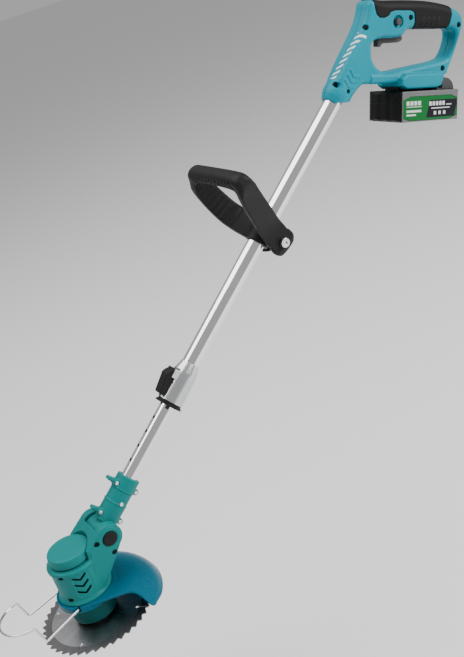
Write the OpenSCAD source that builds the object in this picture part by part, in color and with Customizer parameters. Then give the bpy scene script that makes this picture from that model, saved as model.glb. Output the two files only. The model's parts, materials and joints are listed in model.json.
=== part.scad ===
// Cordless brush cutter: straight telescopic shaft, rear loop handle with a
// slide-on battery, adjustable front handle, and a tilting head that drives a
// round saw blade. Millimetres, +Z up, blade level, origin at the blade's centre.

/* [Blade and spindle] */
// Blade diameter over the teeth
blade_d = 180; // [160:2:184]
// Blade plate thickness
blade_t = 1.8; // [1.2:0.1:2.4]
// Number of teeth round the blade
blade_teeth = 40; // [24:2:60]
// Spindle diameter, which is also the bearing bore
spindle_d = 8; // [7:0.5:9]

/* [Cutting head] */
// Outside diameter of the motor barrel
barrel_d = 77; // [74:1:80]
// Height of the flat top of the motor cap over the blade
head_h = 127.3; // [126:0.1:132]
// Level of the joint between the motor barrel and the guard
deck_z = 50; // [48:1:52]
// Distance of the tilt axis behind the blade's centre
tilt_x = 57.6; // [56:0.2:60]
// Height of the tilt axis over the blade
tilt_z = 123.9; // [122:0.1:126]
// Width of the head across its two cheeks
cheek_w = 72; // [70:1:74]
// How far the head tilts from its flattest setting
tilt_travel = 30; // [10:5:30]

/* [Guard] */
// Largest radius of the hood over the back of the blade
hood_r = 112.4; // [104:0.2:118]
// Radius where the hood's roof starts to curve down
hood_roof_r = 53.5; // [50:0.5:60]
// Height of the hood's lower rim over the blade
hood_rim_z = 1.2; // [0:0.2:6]
// Hood wall thickness
hood_wall = 3; // [2:0.5:4]
// Wire diameter of the swing-up spacer at the front
wire_d = 3.6; // [3:0.2:4]
// How far the spacer swings up
wire_travel = 90; // [30:5:95]

/* [Shaft] */
// Angle of the shaft over the blade's plane
shaft_angle = 36; // [34:0.5:38]
// Outside diameter of the upper tube
upper_tube_d = 28; // [27:0.5:28]
// Outside diameter of the lower tube
lower_tube_d = 25; // [24:0.5:25]
// Wall of both tubes
tube_wall = 1.2; // [1:0.1:1.2]
// Distance from the tilt axis to the lower end of the lock
lock_s = 214; // [210:1:220]
// How far the shaft telescopes in
telescope_travel = 115; // [50:5:115]
// Pitch of the adjustment holes in the lower tube
hole_pitch = 24.6; // [20:0.2:28]

/* [Front handle] */
// Distance from the tilt axis to the front handle's bolt
front_s = 520; // [500:5:540]
// Drop of that bolt under the shaft's axis
front_drop = 26; // [24:0.5:28]
// Reach of the grip's centre from the bolt
front_reach = 150; // [140:1:160]
// Width of the loop over the grip
front_w = 152; // [140:2:160]
// Lean of the loop towards the rear handle
front_lean = 10; // [0:1:15]
// Depth of the loop's side arms along the shaft
front_depth = 37; // [32:1:38]

/* [Rear handle] */
// Distance along the shaft from the tilt axis to the battery's front corner
pack_s = 785.2; // [780:0.2:790]
// Drop of the battery's lower face under the shaft's axis
pack_drop = 107.9; // [106:0.1:110]
// Fall of the battery's lower face towards the back
pack_fall = 18.4; // [16:0.2:20]
// Width of the handle body
handle_w = 40; // [38:1:42]
// Width of the battery foot
foot_w = 66; // [62:1:70]

/* [Battery] */
// Length of the battery
pack_l = 122.6; // [120:0.2:126]
// Width of the battery
pack_w = 83.6; // [80:0.2:86]
// Height of the battery under its rails
pack_h = 48.8; // [48:0.2:50]
// Travel of the battery on its rails until it is free
pack_travel = 85; // [40:5:90]

/* [Hidden] */
$fn = 64;
gap = 0.3;
blade_r = blade_d / 2;
barrel_r = barrel_d / 2;
barrel_wall = 2.6;
cap_r = barrel_r - 5;
cap_z = head_h - 17;
cheek_y = cheek_w / 2;
fork_y = 19.8;
rim_lift = 9;
tilt_hub_r = 17;
tilt_bolt_r = 5;
button_r = 11.5;
skirt_r = 36;
collar_r = 47.5;
core_r = 29.6;
bearing_r = 11;
upper_r = upper_tube_d / 2;
lower_r = lower_tube_d / 2;
neck_r = 18.5;
lever_y = 9;
clamp_r = 19;
clamp_y = 19;
arm_y = 27.5;
bolt_r = 4;
shell_y = handle_w / 2;
grip_y = shell_y - 2;
foot_y = foot_w / 2;
rail_y = 24;
rail_neck_y = 17;
foot_z = 51.5;
pack_y = pack_w / 2;
screw_head_r = 4.1;
big = 400;

// ---------------------------------------------------------------- placing

// Shaft frame: Z runs up the shaft from the tilt axis, X points to its underside.
module on_shaft(s = 0) {
    translate([tilt_x, 0, tilt_z])
        rotate([0, 90 - shaft_angle, 0])
            translate([0, 0, s])
                children();
}

// Handle frame: X runs back along the battery, Z away from its lower face.
module on_handle() {
    on_shaft(pack_s)
        translate([pack_drop, 0, 0])
            rotate([0, shaft_angle + pack_fall - 90, 0])
                children();
}

// Loop frame: Z runs from the front handle's bolt out to its grip.
module on_loop() {
    on_shaft(front_s)
        translate([front_drop, 0, 0])
            rotate([0, front_lean - 90, 0])
                children();
}

// Side outline in X and Z, made into a plate between two values of Y.
module plate(y0, y1) {
    translate([0, y1, 0])
        rotate([90, 0, 0])
            linear_extrude(y1 - y0)
                children();
}

// Cylinder along Y between two values of Y.
module rod(x, z, r, y0, y1) {
    translate([x, y1, z])
        rotate([90, 0, 0])
            cylinder(r = r, h = y1 - y0);
}

module right_half() {
    intersection() {
        children();
        translate([-big, -big, -big])
            cube([4 * big, big, 4 * big]);
    }
}

module left_half() {
    intersection() {
        children();
        translate([-big, 0, -big])
            cube([4 * big, big, 4 * big]);
    }
}

// ------------------------------------------------------- blade and spindle

module tooth_ring() {
    root_r = blade_r - 6;
    step = 360 / blade_teeth;
    polygon([
        for (i = [0 : blade_teeth - 1])
            for (k = [0 : 3])
                let (
                    a = i * step + [0, 0.16, 0.62, 0.8][k] * step,
                    r = [blade_r, blade_r - 0.6, root_r + 1.2, root_r][k]
                )
                [r * cos(a), r * sin(a)]
    ]);
}

module blade() {
    color([0.62, 0.63, 0.64])
        translate([0, 0, -blade_t / 2])
            linear_extrude(blade_t)
                difference() {
                    tooth_ring();
                    circle(r = spindle_d / 2 + 1);
                    for (a = [45 : 90 : 315])
                        rotate(a) {
                            translate([blade_r - 21, -0.6])
                                square([22, 1.2]);
                            translate([blade_r - 21, 0])
                                circle(r = 2);
                        }
                }
}

module spindle() {
    color([0.7, 0.7, 0.72]) {
        translate([0, 0, -9.4])
            cylinder(d = spindle_d, h = deck_z - 2 + 9.4);
        translate([0, 0, -10.4])
            cylinder(d = spindle_d - 1.4, h = 1.2);
        translate([0, 0, -14.8])
            cylinder(d = spindle_d - 0.5, h = 4.4);
        translate([0, 0, -blade_t / 2])
            cylinder(r = spindle_d / 2 + 0.95, h = blade_t);
    }
}

module blade_flange() {
    color([0.5, 0.5, 0.52])
        translate([0, 0, blade_t / 2])
            difference() {
                union() {
                    cylinder(r = 19, h = 3);
                    cylinder(r = 9, h = 10);
                }
                translate([0, 0, -1])
                    cylinder(d = spindle_d, h = 12);
            }
}

module blade_nut() {
    color([0.6, 0.6, 0.62])
        translate([0, 0, -blade_t / 2 - 8.5])
            difference() {
                union() {
                    translate([0, 0, 6])
                        cylinder(r = 16, h = 2.5);
                    cylinder(r = 7.5, h = 6, $fn = 6);
                }
                translate([0, 0, -1])
                    cylinder(d = spindle_d, h = 11);
            }
}

// -------------------------------------------------------------------- head

module bearings() {
    color([0.75, 0.75, 0.77])
        for (z = [20, deck_z - 12])
            translate([0, 0, z])
                difference() {
                    cylinder(r = bearing_r, h = 7);
                    translate([0, 0, -1])
                        cylinder(r = spindle_d / 2 + 0.05, h = 9);
                }
}

module hub_skirt() {
    color([0.08, 0.37, 0.36])
        difference() {
            union() {
                translate([0, 0, 6])
                    cylinder(r = skirt_r, h = deck_z - 10 - 6);
                translate([0, 0, deck_z - 10])
                    cylinder(r = core_r, h = 10);
            }
            translate([0, 0, 5])
                difference() {
                    cylinder(r = skirt_r - 2.5, h = deck_z - 10 - 9);
                    translate([0, 0, 12])
                        cylinder(r = bearing_r + 3, h = deck_z);
                }
            for (z = [20, deck_z - 12])
                translate([0, 0, z])
                    cylinder(r = bearing_r, h = 7);
            translate([0, 0, 15])
                cylinder(r = bearing_r - 2.5, h = deck_z);
            translate([0, 0, 16])
                cylinder(r = bearing_r, h = 5);
            translate([0, 0, deck_z - 6])
                cylinder(r = bearing_r, h = 7);
        }
}

module motor() {
    color([0.45, 0.46, 0.48]) {
        translate([0, 0, deck_z + 0.5])
            cylinder(r = 21, h = 60);
        translate([0, 0, deck_z + 60.5])
            cylinder(r = 6.5, h = 4);
    }
}

// Half outline of the hood seen from above, on the side y < 0.
function hood_side() = [
    [-18, 44], [8, 55], [32, 62.5], [45, 64.5], [52, 70.5], [57.5, 80],
    [61.5, 88], [66, 90.5], [72, 89.5], [80, 82], [140, 60]
];

module hood_plan() {
    side = hood_side();
    polygon(concat(
        [for (p = side) [p[0], -p[1]]],
        [for (i = [len(side) - 1 : -1 : 0]) side[i]]
    ));
}

// Roof and flank of the hood: a level roof that turns down along a quarter ellipse.
module hood_section(inset) {
    a = hood_r - hood_roof_r - inset;
    b = deck_z - hood_rim_z - inset;
    low = hood_rim_z + rim_lift;
    turn = asin(rim_lift / b);
    polygon(concat(
        [[core_r + 2, low - 5 * sign(inset)], [core_r + 2, deck_z - inset]],
        [for (t = [0 : 16])
            let (v = 90 - (90 - turn) * t / 16)
            [hood_roof_r + a * cos(v), hood_rim_z + b * sin(v)]],
        [[hood_roof_r + a * cos(turn), low - 5 * sign(inset)]]
    ));
}

module guard() {
    color([0.05, 0.42, 0.52])
        difference() {
            union() {
                intersection() {
                    rotate_extrude($fn = 128)
                        difference() {
                            hood_section(0);
                            hood_section(hood_wall);
                        }
                    linear_extrude(deck_z + 1)
                        hood_plan();
                }
                translate([0, 0, deck_z - 10])
                    difference() {
                        cylinder(r = collar_r, h = 10);
                        translate([0, 0, -1])
                            cylinder(r = core_r + 0.05, h = 12);
                    }
            }
            // notches that the spacer wire's legs swing in, and its pivot holes
            for (s = [-1, 1]) {
                translate([-60, s * 35 - 3.2, deck_z - 7.4])
                    cube([35, 6.4, 20]);
                rod(-28, deck_z - 4, wire_d / 2 + 0.05, s * 28 - 12, s * 28 + 12);
            }
        }
}

// Outlines of the head's side, in X and Z.
function arc(cx, cz, r, a0, a1, n) =
    [for (i = [0 : n]) [cx + r * cos(a0 + (a1 - a0) * i / n), cz + r * sin(a0 + (a1 - a0) * i / n)]];

module cheek_outline() {
    polygon(concat(
        [[4, deck_z], [24, deck_z], [27, deck_z + 8]],
        arc(tilt_x, tilt_z, 21.5, -52, 129, 24),
        [[18, tilt_z], [10, tilt_z - 52]]
    ));
}

// Closed front of the arm, from the motor cap up to the slot that the neck swings in.
module arm_outline() {
    difference() {
        polygon([
            [tilt_x - 13.5, tilt_z + 16.7], [18, tilt_z], [18, cap_z - 4],
            [tilt_x - 12, cap_z - 4], [tilt_x - 9, tilt_z], [tilt_x - 10.5, tilt_z + 13]
        ]);
        translate([tilt_x, tilt_z])
            circle(r = tilt_hub_r + 0.6);
    }
}

// Rear web that closes the space between the cheeks under the tilt hub.
module web_outline() {
    polygon([
        [20, deck_z + 4], [27, deck_z + 8], [68, tilt_z - 24],
        [65, tilt_z - 20.5], [44, tilt_z - 27], [20, tilt_z - 42]
    ]);
}

module barrel_section() {
    polygon([
        [0, deck_z], [barrel_r + 4, deck_z], [barrel_r + 4, deck_z + 2.5],
        [barrel_r + 1, deck_z + 5], [barrel_r, deck_z + 6], [barrel_r, cap_z - 9],
        [barrel_r + 2, cap_z - 7], [barrel_r + 2, cap_z - 3], [barrel_r, cap_z],
        [0, cap_z]
    ]);
}

// Vee-shaped cooling slots, cut in from the side.
module vent_slots() {
    for (z = [67.5, 80, 92.5])
        plate(-big, big)
            polygon([
                [-18.5, z + 6.5], [-8, z], [3, z + 7],
                [3, z + 3], [-8, z - 3.6], [-18.5, z + 2.5]
            ]);
}

module head_body() {
    difference() {
        union() {
            difference() {
                union() {
                    rotate_extrude($fn = 96)
                        barrel_section();
                    plate(-cheek_y, -fork_y)
                        cheek_outline();
                    plate(fork_y, cheek_y)
                        cheek_outline();
                    plate(-fork_y - 1, fork_y + 1)
                        arm_outline();
                    plate(-fork_y - 1, fork_y + 1)
                        web_outline();
                }
                // motor space, and the way for the cap on top of it
                translate([0, 0, deck_z - 1])
                    cylinder(r = barrel_r - barrel_wall, h = cap_z - deck_z - 2);
                translate([0, 0, cap_z - 20])
                    cylinder(r = 28, h = 30);
                translate([0, 0, cap_z])
                    cylinder(r = cap_r + 0.4, h = 60);
                intersection() {
                    vent_slots();
                    difference() {
                        cylinder(r = barrel_r + 6, h = cap_z);
                        cylinder(r = barrel_r - 6, h = cap_z);
                    }
                }
            }
            intersection() {
                for (z = [deck_z + 9, cap_z - 8])
                    rod(-31, z, 4.4, -big, big);
                cylinder(r = barrel_r - 1, h = cap_z - 1);
            }
        }
        // tilt hub, bolt and button
        rod(tilt_x, tilt_z, tilt_hub_r + 0.6, -fork_y, fork_y);
        rod(tilt_x, tilt_z, tilt_bolt_r, -cheek_y - 1, cheek_y + 1);
        rod(tilt_x, tilt_z, button_r + gap, -cheek_y - 1, 7 - cheek_y);
        rod(tilt_x, tilt_z, 9, cheek_y - 5.5, cheek_y + 1);
        head_screw_holes();
    }
}

function cheek_screws() = [[36, 126.5], [55.5, 98.5]];

module head_screw_holes() {
    for (p = cheek_screws()) {
        rod(p[0], p[1], screw_head_r + gap, -cheek_y - 1, 6 - cheek_y);
        rod(p[0], p[1], 1.45, -cheek_y, cheek_y - 6);
    }
    for (z = [deck_z + 9, cap_z - 8]) {
        rod(-31, z, 3.2, -big, -18);
        rod(-31, z, 1.5, -big, 14);
    }
}

module head_shell_right() {
    color([0.12, 0.59, 0.59])
        right_half()
            head_body();
}

module head_shell_left() {
    color([0.12, 0.59, 0.59])
        left_half()
            head_body();
}

module motor_cap() {
    color([0.12, 0.59, 0.59])
        translate([0, 0, cap_z])
            difference() {
                rotate_extrude($fn = 96)
                    polygon([
                        [0, 0], [cap_r, 0], [cap_r, head_h - cap_z - 3],
                        [cap_r - 0.9, head_h - cap_z - 0.9], [cap_r - 3, head_h - cap_z],
                        [0, head_h - cap_z]
                    ]);
                translate([0, 0, -1])
                    cylinder(r = cap_r - 3, h = head_h - cap_z - 2);
            }
}

module head_screws() {
    color([0.15, 0.15, 0.16]) {
        for (p = cheek_screws()) {
            rod(p[0], p[1], screw_head_r, 3.5 - cheek_y, 6 - cheek_y);
            rod(p[0], p[1], 1.4, 6 - cheek_y, cheek_y - 7);
        }
        for (z = [deck_z + 9, cap_z - 8]) {
            rod(-31, z, 3.1, -21, -18);
            rod(-31, z, 1.45, -18, 13);
        }
    }
}

module tilt_bolt() {
    color([0.55, 0.55, 0.57]) {
        rod(tilt_x, tilt_z, tilt_bolt_r - 0.02, 9 - cheek_y, cheek_y - 5.5);
        rod(tilt_x, tilt_z, 8.5, cheek_y - 5.5, cheek_y - 0.5);
    }
}

module tilt_button() {
    color([0.13, 0.12, 0.12])
        translate([tilt_x, 0, tilt_z])
            rotate([90, 0, 0])
                translate([0, 0, cheek_y - 4])
                    rotate_extrude()
                        polygon([
                            [0, 0], [button_r, 0], [button_r, 5], [button_r - 1, 6],
                            [0, 6.4]
                        ]);
}

// Side path of the spacer wire: pivot, lower bend, upper bend.
function wire_bends() = [[-28, deck_z - 4], [-90, 33], [-98, 65]];
wire_y0 = 35;
wire_y1 = 40;
wire_joint = wire_d + 0.16;

module wire_run(p, q) {
    d = q - p;
    l = norm(d);
    translate(p)
        rotate([0, acos(d[2] / l), atan2(d[1], d[0])])
            cylinder(d = wire_d, h = l);
}

module spacer_wire() {
    w = wire_bends();
    color([0.85, 0.86, 0.87]) {
        for (s = [-1, 1]) {
            a = [w[0][0], s * wire_y0, w[0][1]];
            b = [w[1][0], s * wire_y1, w[1][1]];
            c = [w[2][0], s * wire_y1, w[2][1]];
            rod(w[0][0], w[0][1], wire_d / 2, s * 28 - 7, s * 28 + 7);
            wire_run(a, b);
            wire_run(b, c);
            for (p = [a, b, c])
                translate(p)
                    sphere(d = wire_joint);
        }
        translate([w[2][0], 0, w[2][1]])
            rotate([0, 0, 90])
                rotate_extrude(angle = 180)
                    translate([wire_y1, 0])
                        circle(d = wire_d);
    }
}

// ------------------------------------------------- lower tube and its neck

tube_foot_s = 42;
neck_top_s = 90;

module lower_tube() {
    top_s = lock_s + telescope_travel - 10;
    color([0.8, 0.81, 0.82])
        on_shaft(tube_foot_s)
            difference() {
                cylinder(r = lower_r, h = top_s - tube_foot_s);
                translate([0, 0, -1])
                    cylinder(r = lower_r - tube_wall, h = top_s);
                for (i = [0 : 6])
                    translate([0, 0, 115 - tube_foot_s + i * hole_pitch])
                        rotate([0, -90, 0])
                            cylinder(r = 2.6, h = 20);
            }
}

function neck_screw_spots() = [[-18, 75], [-18.5, 25], [20, 73], [20, 23]];

module neck_body() {
    difference() {
        union() {
            translate([0, 0, 14])
                cylinder(r = neck_r - 1, h = 12);
            translate([0, 0, 26])
                cylinder(r = neck_r - 0.3, h = 21);
            translate([0, 0, 47])
                cylinder(r = neck_r - 0.8, h = 21);
            translate([0, 0, 68])
                cylinder(r = neck_r, h = neck_top_s - 68);
            for (z = [47, 68])
                translate([0, 0, z - 1])
                    cylinder(r = neck_r + 0.2, h = 2);
            rod(0, 0, tilt_hub_r, -fork_y + gap, fork_y - gap);
            for (p = neck_screw_spots())
                rod(p[0], p[1], 4.6, -8, 8);
            // thumb tabs over the two front screws
            for (z = [75, 25]) {
                translate([-31, 0, z + 1.5])
                    rotate([90, 0, 0])
                        translate([0, 0, -6])
                            cylinder(r = 3, h = 12);
                translate([-31, -6, z - 1.5])
                    cube([16, 12, 6]);
            }
        }
        translate([0, 0, tube_foot_s - 0.3])
            cylinder(r = lower_r + 0.05, h = 60);
        translate([0, 0, 12])
            cylinder(r = 5, h = 40);
        rod(0, 0, tilt_bolt_r + 0.05, -30, 30);
        for (p = neck_screw_spots()) {
            rod(p[0], p[1], 1.6, -30, 7);
            rod(p[0], p[1], 3.3, -9, -6.5);
        }
        rod(0, 50, 1.6, -30, -lower_r);
        rod(0, 50, 3.3, -30, 0.8 - neck_r);
    }
}

module neck_half_right() {
    color([0.12, 0.59, 0.59])
        on_shaft()
            right_half()
                neck_body();
}

module neck_half_left() {
    color([0.12, 0.59, 0.59])
        on_shaft()
            left_half()
                neck_body();
}

module neck_screws() {
    color([0.78, 0.78, 0.8])
        on_shaft() {
            for (p = neck_screw_spots()) {
                rod(p[0], p[1], 3.2, -8.6, -6.5);
                rod(p[0], p[1], 1.55, -6.5, 6.5);
            }
            rod(0, 50, 3.2, -neck_r - 1.2, 0.8 - neck_r);
            rod(0, 50, 1.55, 0.8 - neck_r, -lower_r - 0.3);
        }
}

// --------------------------------------------------- upper tube and its lock

module upper_tube() {
    color([0.82, 0.83, 0.84])
        on_shaft(lock_s + 7)
            difference() {
                cylinder(r = upper_r, h = 835 - lock_s - 7);
                translate([0, 0, -1])
                    cylinder(r = upper_r - tube_wall, h = 900);
            }
}

// Lever pocket: the lever lies in the front of the sleeve, hinged at its upper end.
lever_pin = [-23, 48];

module lock_sleeve() {
    color([0.7, 0.71, 0.72])
        on_shaft(lock_s)
            difference() {
                union() {
                    rotate_extrude($fn = 72)
                        polygon([
                            [upper_r + 0.02, 7], [20.6, 7], [19.6, 55],
                            [upper_r + 0.6, 73], [upper_r + 0.02, 73]
                        ]);
                    for (s = [-1, 1])
                        translate([-25.5, s * (lever_y + 1.8) - 1.4, 41])
                            cube([14, 2.8, 14]);
                }
                translate([0, 0, 6])
                    cylinder(r = upper_r + 0.02, h = 80);
                translate([-60, -lever_y - gap, 8])
                    cube([60 - upper_r - 1.2, 2 * (lever_y + gap), 50]);
                rod(lever_pin[0], lever_pin[1], 2, -20, 20);
            }
}

module lock_flange() {
    color([0.1, 0.1, 0.1])
        on_shaft(lock_s)
            difference() {
                union() {
                    cylinder(r = 21.6, h = 3.4);
                    cylinder(r = 19.5, h = 7);
                    translate([-10, -17, -5])
                        cylinder(r = 3, h = 6);
                }
                translate([0, 0, -6])
                    cylinder(r = lower_r + gap, h = 20);
            }
}

module lock_pin() {
    color([0.6, 0.6, 0.62])
        on_shaft(lock_s)
            rod(lever_pin[0], lever_pin[1], 1.98, -lever_y - 3.4, lever_y + 3.4);
}

module lock_lever() {
    color([0.1, 0.1, 0.1])
        on_shaft(lock_s)
            difference() {
                plate(-lever_y, lever_y)
                    polygon(concat(
                        arc(lever_pin[0], lever_pin[1], 7, 0, 110, 6),
                        [[-31, 48], [-34, 42], [-33, 38], [-28.5, 11], [-22, 10], [-17, 12]]
                    ));
                rod(lever_pin[0], lever_pin[1], 2.03, -20, 20);
            }
}

module motor_lead() {
    color([0.08, 0.08, 0.08])
        on_shaft(lock_s + telescope_travel + 16)
            cylinder(r = 2.5, h = 845 - lock_s - telescope_travel - 16);
}

// ------------------------------------------------------------- front handle

module clamp_body() {
    difference() {
        union() {
            translate([0, 0, -20])
                cylinder(r = clamp_r, h = 44);
            rod(front_drop, 0, 13, -clamp_y, clamp_y);
            translate([0, -clamp_y, -13])
                cube([front_drop, 2 * clamp_y, 26]);
        }
        translate([0, 0, -40])
            cylinder(r = upper_r + gap, h = 80);
        rod(front_drop, 0, bolt_r + 0.05, -40, 40);
    }
}

module clamp_half_right() {
    color([0.1, 0.1, 0.1])
        on_shaft(front_s)
            right_half()
                clamp_body();
}

module clamp_half_left() {
    color([0.1, 0.1, 0.1])
        on_shaft(front_s)
            left_half()
                clamp_body();
}

// The loop seen along the shaft, as half width and reach from the bolt, for each side.
// The right arm splays straight to its corner, and the left arm bows out.
function loop_right(r, w) = [
    [-arm_y, -25], [-arm_y, 22], [-32, 36], [-46, 66], [-67, r - 34], [-w - 1, r - 15],
    [-w - 2, r - 6], [-w + 3, r + 3], [-w + 14, r + 8], [-w + 50, r + 11]
];

function loop_left(r, w) = [
    [w - 20, r + 12], [w - 4, r + 6], [w + 5, r - 6], [w + 9, r - 30], [w + 10, r - 60],
    [w + 7, 58], [w - 5, 40], [w - 26, 27], [arm_y, 18], [arm_y, -25]
];

function loop_hole(r, w) = [
    [-clamp_y - gap, -26], [-clamp_y - gap, 22], [-24, 38], [-37, 68], [-57, r - 36],
    [-w + 15, r - 19], [-w + 26, r - 13], [w - 20, r - 12], [w - 9, r - 20], [w, r - 34],
    [w + 1, r - 60], [w - 3, 62], [w - 13, 48], [w - 34, 36], [clamp_y + gap, 22],
    [clamp_y + gap, -26]
];

// Loop frame: X along the shaft, Y across, Z out to the grip.
module front_loop() {
    color([0.14, 0.14, 0.14])
        on_loop()
            difference() {
                intersection() {
                    translate([-30, 0, 0])
                        rotate([90, 0, 90])
                            linear_extrude(60)
                                difference() {
                                    polygon(concat(
                                        loop_right(front_reach, front_w / 2),
                                        loop_left(front_reach, front_w / 2)
                                    ));
                                    polygon(loop_hole(front_reach, front_w / 2));
                                }
                    plate(-110, 110)
                        union() {
                            circle(r = 22.5);
                            polygon([
                                [-22.5, 0], [22.5, 0], [front_depth / 2 + 1.5, 40],
                                [18, 100], [17.5, front_reach - 3], [14, front_reach + 7],
                                [6, front_reach + 12], [-2, front_reach + 11],
                                [-8, front_reach + 4], [-9.5, front_reach - 7],
                                [-17.5, front_reach - 30], [-front_depth / 2 - 1.5, 40]
                            ]);
                        }
                }
                rod(0, 0, bolt_r + 0.05, -60, 60);
            }
}

module loop_bolt() {
    color([0.8, 0.8, 0.82])
        on_shaft(front_s)
            difference() {
                union() {
                    rod(front_drop, 0, bolt_r, -28, 40);
                    rod(front_drop, 0, 7.6, -34.5, -27.8);
                }
                translate([front_drop, -31.5, 0])
                    rotate([90, 0, 0])
                        cylinder(r = 3.4, h = 4, $fn = 6);
            }
}

module loop_knob() {
    color([0.12, 0.12, 0.12])
        on_shaft(front_s)
            difference() {
                union() {
                    rod(front_drop, 0, 8, 27.8, 32);
                    translate([front_drop, 43, 0])
                        rotate([90, 0, 0])
                            linear_extrude(12)
                                difference() {
                                    circle(r = 15);
                                    for (a = [0 : 60 : 300])
                                        rotate(a)
                                            translate([17.5, 0])
                                                circle(r = 5);
                                }
                }
                rod(front_drop, 0, bolt_r, 20, 40);
            }
}

// -------------------------------------------------------------- rear handle

function handle_outline() = [
    [-113, 60], [-82, 41], [-62, 62.5], [16, 62.5], [16, 75], [118, 75],
    [142, 130], [150, 156], [147, 166], [132, 175.5], [106, 182.5], [66, 187.5],
    [14, 188], [-30, 186.5], [-46, 187.5], [-50, 172], [-57, 152],
    [-73, 126], [-93, 95]
];

function hand_opening() = [
    [-43, 131.5], [-43, 106], [-39, 95], [-31, 86], [-20, 80.5], [-8, 79],
    [112, 95], [124, 105], [132, 124], [133.5, 136], [130, 143], [123, 145.5],
    [30, 145.5], [25, 137.5], [17, 131.5]
];

module handle_side() {
    difference() {
        polygon(handle_outline());
        polygon(hand_opening());
    }
}

// Side outline of the rubber: a strip along the top with one flap, then all round.
module grip_area(inset = 0) {
    difference() {
        polygon([
            [-43 + inset, 200], [-33 + inset, 161.5 + inset], [-13.5, 161.5 + inset],
            [-4.5, 172.5 + inset], [36, 172.5 + inset], [42 + inset, 168], [42 + inset, 140],
            [113 - inset, 140], [122 - inset, 174], [122 - inset, 200]
        ]);
        polygon(hand_opening());
    }
}

module foot_side() {
    polygon([[8, foot_z], [90, foot_z], [100, 75], [8, 75]]);
}

function shell_screws() = [[-55, 147.5], [34, 162], [137, 150], [104, 82]];

// Short screw that pins the right shell to the upper tube.
tube_screw = [-92, 53];

// One more shell screw passes in front of the tube, and its head sits deeper.
collar_screw = [-108.3, 63.2];

button_spot = [8, 155.6];
trigger_spot = [24, 135.5];

module handle_body() {
    difference() {
        union() {
            plate(-shell_y, shell_y)
                handle_side();
            plate(-foot_y, foot_y)
                foot_side();
            on_shaft_from_handle(750)
                rotate_extrude($fn = 96)
                    polygon([[0, 0], [18, 0], [23, 12], [23, 26], [19, 44], [0, 44]]);
        }
        // seat of the rubber grip
        difference() {
            plate(-shell_y - 1, shell_y + 1)
                intersection() {
                    polygon(handle_outline());
                    grip_area();
                }
            plate(2 - grip_y, grip_y - 2)
                translate([-60, 100])
                    square([260, 83]);
        }
        // room inside
        difference() {
            plate(2.8 - grip_y, grip_y - 2.8)
                offset(delta = -6.5)
                    handle_side();
            on_shaft_from_handle(740)
                cylinder(r = 34, h = 98);
            for (p = shell_screws())
                rod(p[0], p[1], 6, -30, 30);
        }
        on_shaft_from_handle(740)
            cylinder(r = upper_r + 0.02, h = 96);
        on_shaft_from_handle(740)
            cylinder(r = 6, h = 130);
        // battery channel, opening at the back, and the bay over it
        translate([12.7, -rail_y - 0.4, 54.5])
            cube([100, 2 * rail_y + 0.8, 7.3]);
        translate([12.7, -rail_neck_y - 0.4, 50])
            cube([100, 2 * rail_neck_y + 0.8, 6]);
        translate([12.7, -29, 62.4])
            cube([78, 58, 9.6]);
        translate([14, -12, 60])
            cube([24, 24, 4]);
        for (s = [-1, 1])
            translate([84, s * 26.5 - 3, 50])
                cube([16, 6, 4.2]);
        // trigger mouth and its pin, lock-off button, shell screws
        translate([-24, -6.4, 120])
            cube([53, 12.8, 26]);
        rod(trigger_spot[0], trigger_spot[1], 2, -12, 12);
        rod(button_spot[0], button_spot[1], 5.6, -30, 30);
        rod(button_spot[0], button_spot[1], 9.5, -30, -16);
        for (p = shell_screws()) {
            rod(p[0], p[1], screw_head_r + gap, -30, 6 - shell_y);
            rod(p[0], p[1], 1.6, -30, 12);
        }
        rod(collar_screw[0], collar_screw[1], screw_head_r + gap, -30, -8);
        rod(collar_screw[0], collar_screw[1], 1.6, -30, 12);
        rod(tube_screw[0], tube_screw[1], 3, -30, 3 - shell_y);
        rod(tube_screw[0], tube_screw[1], 1.6, -30, 0);
    }
}

// Turns the handle frame back into the shaft frame at a distance s.
module on_shaft_from_handle(s) {
    rotate([0, 90 - shaft_angle - pack_fall, 0])
        translate([-pack_drop, 0, s - pack_s])
            children();
}

module handle_shell_right() {
    color([0.2, 0.7, 0.76])
        on_handle()
            right_half()
                handle_body();
}

module handle_shell_left() {
    color([0.2, 0.7, 0.76])
        on_handle()
            left_half()
                handle_body();
}

module grip_body() {
    difference() {
        plate(-grip_y, grip_y)
            intersection() {
                polygon(handle_outline());
                grip_area(0.1);
            }
        plate(1.9 - grip_y, grip_y - 1.9)
            translate([-60, 100])
                square([260, 83.1]);
    }
}

module grip_pad_right() {
    color([0.14, 0.13, 0.13])
        on_handle()
            right_half()
                grip_body();
}

module grip_pad_left() {
    color([0.14, 0.13, 0.13])
        on_handle()
            left_half()
                grip_body();
}

module handle_screws() {
    color([0.12, 0.12, 0.13])
        on_handle() {
            for (p = shell_screws()) {
                rod(p[0], p[1], screw_head_r, 3.5 - shell_y, 6 - shell_y);
                rod(p[0], p[1], 1.55, 6 - shell_y, 11);
            }
            rod(collar_screw[0], collar_screw[1], screw_head_r, -10.5, -8);
            rod(collar_screw[0], collar_screw[1], 1.55, -8, 11);
            rod(tube_screw[0], tube_screw[1], 2.9, 0.8 - shell_y, 3 - shell_y);
            rod(tube_screw[0], tube_screw[1], 1.55, 3 - shell_y, -upper_r - gap);
        }
}

module trigger() {
    color([0.42, 0.4, 0.41])
        on_handle()
            difference() {
                plate(-6, 6)
                    polygon([
                        [-21.5, 137], [-21.5, 119], [-17, 118], [-12, 123.5],
                        [20, 124.5], [28, 128], [28, 138], [24, 140], [-18, 140]
                    ]);
                rod(trigger_spot[0], trigger_spot[1], 2.03, -10, 10);
            }
}

module trigger_pin() {
    color([0.6, 0.6, 0.62])
        on_handle()
            rod(trigger_spot[0], trigger_spot[1], 1.98, -10, 10);
}

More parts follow.
